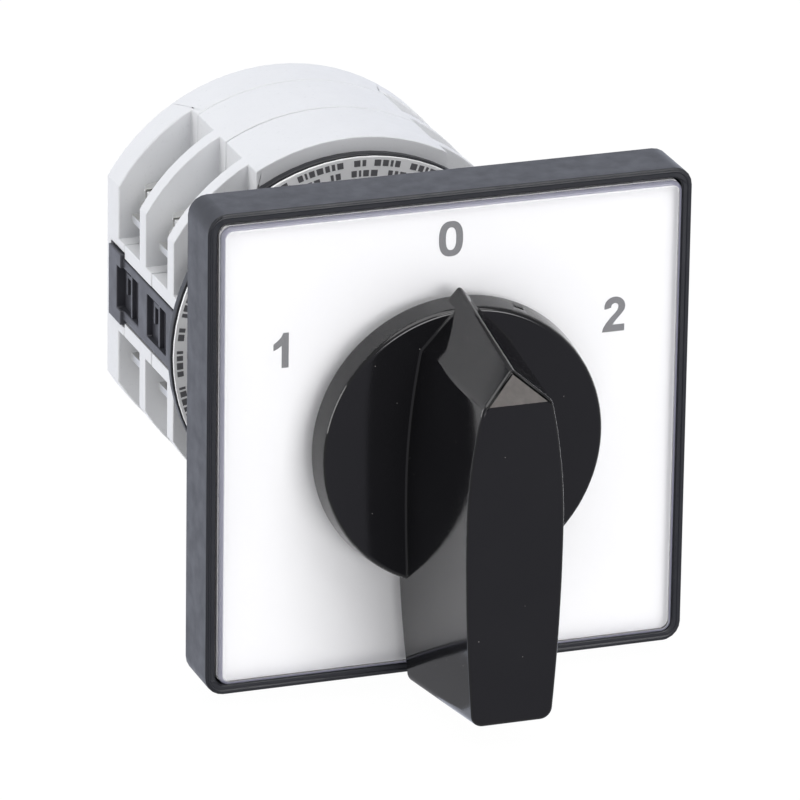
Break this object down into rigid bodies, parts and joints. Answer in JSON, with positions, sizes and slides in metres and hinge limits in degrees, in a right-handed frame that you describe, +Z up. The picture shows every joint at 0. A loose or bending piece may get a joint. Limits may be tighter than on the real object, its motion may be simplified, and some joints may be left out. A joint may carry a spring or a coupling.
{
  "type": "manual transfer switch",
  "caption": "Panel-mounted rotary changeover switch: square framed dial marked 1, 0 and 2, black bar knob, and a round stack of contact wafers behind the panel.",
  "frame": {"origin": "on the shaft's axis, in the plane where the frame's back meets the front of the panel", "axes": "+Z up towards the digit 0, +X to the right seen from the front, the knob towards -Y and the contact stack towards +Y"},
  "size_m": [0.065, 0.095, 0.0653],
  "materials": {
    "black_plastic": "fine satin moulded plastic",
    "knob_plastic": "smooth semi-gloss moulded plastic with fine dust",
    "clear_cover": "clear polycarbonate",
    "legend_white": "smooth white with printed dark grey digits",
    "housing_grey": "light cool grey moulded thermoset, satin",
    "label_paper": "printed white label",
    "natural_nylon": "natural nylon",
    "contact_brass": "stamped brass with silver contact tips",
    "zinc_steel": "zinc plated",
    "spring_steel": "drawn spring wire"
  },
  "bodies": {
    "housing": {"front_frame": "black_plastic", "legend_plate": "legend_white", "window_cover": "clear_cover", "mounting_base": "black_plastic", "latch_housing": "black_plastic", "rating_label": "label_paper", "wafer_1": "housing_grey", "wafer_2": "housing_grey", "rear_plate": "housing_grey", "fixing_screw_1": "zinc_steel", "fixing_screw_2": "zinc_steel", "fixing_screw_3": "zinc_steel", "fixing_screw_4": "zinc_steel", "latch_spring_left": "spring_steel", "clip_left": "black_plastic", "tie_screw_left": "zinc_steel", "latch_spring_right": "spring_steel", "clip_right": "black_plastic", "tie_screw_right": "zinc_steel", "bridge_spring_1_upper": "spring_steel", "terminal_1_upper_left": "contact_brass", "terminal_screw_1_upper_left": "zinc_steel", "terminal_1_upper_right": "contact_brass", "terminal_screw_1_upper_right": "zinc_steel", "bridge_spring_1_lower": "spring_steel", "terminal_1_lower_left": "contact_brass", "terminal_screw_1_lower_left": "zinc_steel", "terminal_1_lower_right": "contact_brass", "terminal_screw_1_lower_right": "zinc_steel", "bridge_spring_2_upper": "spring_steel", "terminal_2_upper_left": "contact_brass", "terminal_screw_2_upper_left": "zinc_steel", "terminal_2_upper_right": "contact_brass", "terminal_screw_2_upper_right": "zinc_steel", "bridge_spring_2_lower": "spring_steel", "terminal_2_lower_left": "contact_brass", "terminal_screw_2_lower_left": "zinc_steel", "terminal_2_lower_right": "contact_brass", "terminal_screw_2_lower_right": "zinc_steel"},
    "rotor": {"knob": "knob_plastic", "handle_cap": "knob_plastic", "knob_screw": "zinc_steel", "shaft": "zinc_steel", "shaft_bush": "natural_nylon", "star_wheel": "natural_nylon", "cam_1": "natural_nylon", "cam_2": "natural_nylon"},
    "bridge_1_upper": {"carrier_1_upper": "natural_nylon", "strip_1_upper": "contact_brass"},
    "bridge_1_lower": {"carrier_1_lower": "natural_nylon", "strip_1_lower": "contact_brass"},
    "bridge_2_upper": {"carrier_2_upper": "natural_nylon", "strip_2_upper": "contact_brass"},
    "bridge_2_lower": {"carrier_2_lower": "natural_nylon", "strip_2_lower": "contact_brass"},
    "latch_left": {"latch_plunger_left": "natural_nylon"},
    "latch_right": {"latch_plunger_right": "natural_nylon"}
  },
  "joints": [
    {"name": "shaft_turn", "type": "hinge", "parent": "housing", "child": "rotor", "pos_m": [0, 0, 0], "axis": [0, 1, 0], "range_deg": [-60, 60]},
    {"name": "bridge_1_upper_slide", "type": "slide", "parent": "housing", "child": "bridge_1_upper", "axis": [0, 0, 1], "range_m": [-0.00121, 0.00121], "deforming": ["bridge_spring_1_upper"]},
    {"name": "bridge_1_lower_slide", "type": "slide", "parent": "housing", "child": "bridge_1_lower", "axis": [0, 0, -1], "range_m": [-0.00121, 0.00121], "deforming": ["bridge_spring_1_lower"]},
    {"name": "bridge_2_upper_slide", "type": "slide", "parent": "housing", "child": "bridge_2_upper", "axis": [0, 0, 1], "range_m": [-0.00121, 0.00121], "deforming": ["bridge_spring_2_upper"]},
    {"name": "bridge_2_lower_slide", "type": "slide", "parent": "housing", "child": "bridge_2_lower", "axis": [0, 0, -1], "range_m": [-0.00121, 0.00121], "deforming": ["bridge_spring_2_lower"]},
    {"name": "latch_left_slide", "type": "slide", "parent": "housing", "child": "latch_left", "axis": [1, 0, 0], "range_m": [0, 0.003], "stiffness_N_per_m": 100, "deforming": ["latch_spring_left"]},
    {"name": "latch_right_slide", "type": "slide", "parent": "housing", "child": "latch_right", "axis": [-1, 0, 0], "range_m": [0, 0.003], "stiffness_N_per_m": 100, "deforming": ["latch_spring_right"]}
  ],
  "couplings": [
    {"joint": "bridge_1_upper_slide", "follows": "shaft_turn", "m_per_rad": -0.0011459},
    {"joint": "bridge_1_lower_slide", "follows": "shaft_turn", "m_per_rad": 0.0011459},
    {"joint": "bridge_2_upper_slide", "follows": "shaft_turn", "m_per_rad": -0.0011459},
    {"joint": "bridge_2_lower_slide", "follows": "shaft_turn", "m_per_rad": 0.0011459}
  ]
}
